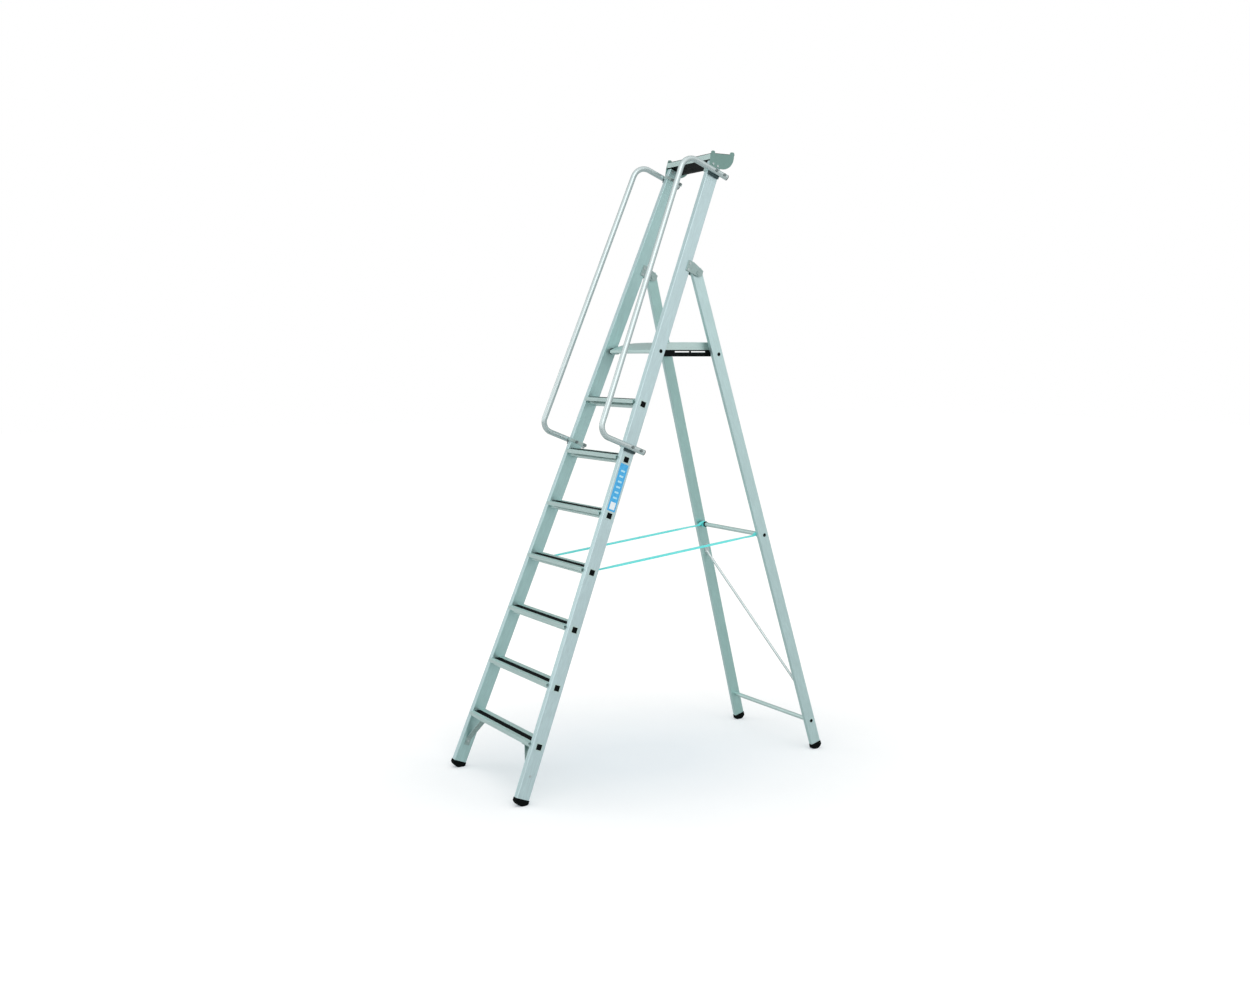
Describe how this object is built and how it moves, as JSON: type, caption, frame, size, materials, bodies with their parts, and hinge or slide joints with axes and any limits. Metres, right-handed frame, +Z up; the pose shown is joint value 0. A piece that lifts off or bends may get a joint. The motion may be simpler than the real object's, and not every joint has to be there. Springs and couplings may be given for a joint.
{
  "type": "platform step ladder",
  "caption": "Folding step ladder with ribbed treads, a tilting platform, long side handrails, a tool tray on top and a braced rear frame held by webbing straps.",
  "frame": {"origin": "on the floor, in the middle of the footprint", "axes": "+Z up, +Y from the climbing side towards the rear legs, +X to the climber's right"},
  "size_m": [0.6558, 1.6262, 2.7548],
  "materials": {
    "frame_aluminium": "satin anodised",
    "tread_aluminium": "ribbed mill finish",
    "plain_aluminium": "mill finish",
    "zinc_steel": "zinc plated",
    "black_rubber": "matte",
    "black_plastic": "matte moulded",
    "white_nylon": "smooth",
    "turquoise_webbing": "woven",
    "printed_label": "printed film"
  },
  "bodies": {
    "front_frame": {"stile_right": "frame_aluminium", "stile_left": "frame_aluminium", "tread_1": "tread_aluminium", "tread_strip_1": "black_rubber", "tread_2": "tread_aluminium", "tread_strip_2": "black_rubber", "tread_3": "tread_aluminium", "tread_strip_3": "black_rubber", "tread_4": "tread_aluminium", "tread_strip_4": "black_rubber", "tread_5": "tread_aluminium", "tread_strip_5": "black_rubber", "tread_6": "tread_aluminium", "tread_strip_6": "black_rubber", "tread_7": "tread_aluminium", "tread_strip_7": "black_rubber", "tread_plugs": "black_plastic", "tread_brace_right": "plain_aluminium", "front_foot_right": "black_rubber", "hinge_plate_right_outer": "zinc_steel", "hinge_plate_right_inner": "zinc_steel", "hinge_pin_right": "zinc_steel", "handrail_right": "frame_aluminium", "tray_bracket_right": "plain_aluminium", "spreader_strap_right": "turquoise_webbing", "tread_brace_left": "plain_aluminium", "front_foot_left": "black_rubber", "hinge_plate_left_outer": "zinc_steel", "hinge_plate_left_inner": "zinc_steel", "hinge_pin_left": "zinc_steel", "handrail_left": "frame_aluminium", "tray_bracket_left": "plain_aluminium", "spreader_strap_left": "turquoise_webbing", "handrail_caps": "black_plastic", "handrail_saddles": "black_plastic", "tray_pan": "black_plastic", "platform_tube_caps": "black_plastic", "platform_spacers": "black_plastic", "hinge_washers": "white_nylon", "frame_rivets": "plain_aluminium", "handrail_bolts": "zinc_steel", "handrail_clamps": "plain_aluminium", "tray_lip": "plain_aluminium", "platform_tube": "plain_aluminium", "side_label": "printed_label"},
    "rear_frame": {"rear_foot_right": "black_rubber", "rear_leg_right": "frame_aluminium", "rear_foot_left": "black_rubber", "rear_leg_left": "frame_aluminium", "support_tube": "plain_aluminium", "upper_crossbar": "plain_aluminium", "lower_crossbar": "plain_aluminium", "rear_tube_caps": "black_plastic", "diagonal_brace": "plain_aluminium", "diagonal_bolts": "zinc_steel", "strap_collars": "black_plastic"},
    "platform": {"platform_deck": "tread_aluminium", "platform_guide_right": "black_plastic", "platform_guide_left": "black_plastic", "platform_rivets": "plain_aluminium"}
  },
  "joints": [
    {"name": "rear_fold", "type": "hinge", "parent": "front_frame", "child": "rear_frame", "pos_m": [0, 0.16752, 2.21501], "axis": [-1, 0, 0], "range_deg": [0, 37.3], "deforming": ["spreader_strap_right", "spreader_strap_left"]},
    {"name": "platform_fold", "type": "hinge", "parent": "front_frame", "child": "platform", "pos_m": [0, -0.03982, 1.87334], "axis": [1, 0, 0], "range_deg": [0, 68.7]}
  ],
  "couplings": [
    {"joint": "platform_fold", "follows": "rear_fold", "ratio": 1.8338}
  ]
}
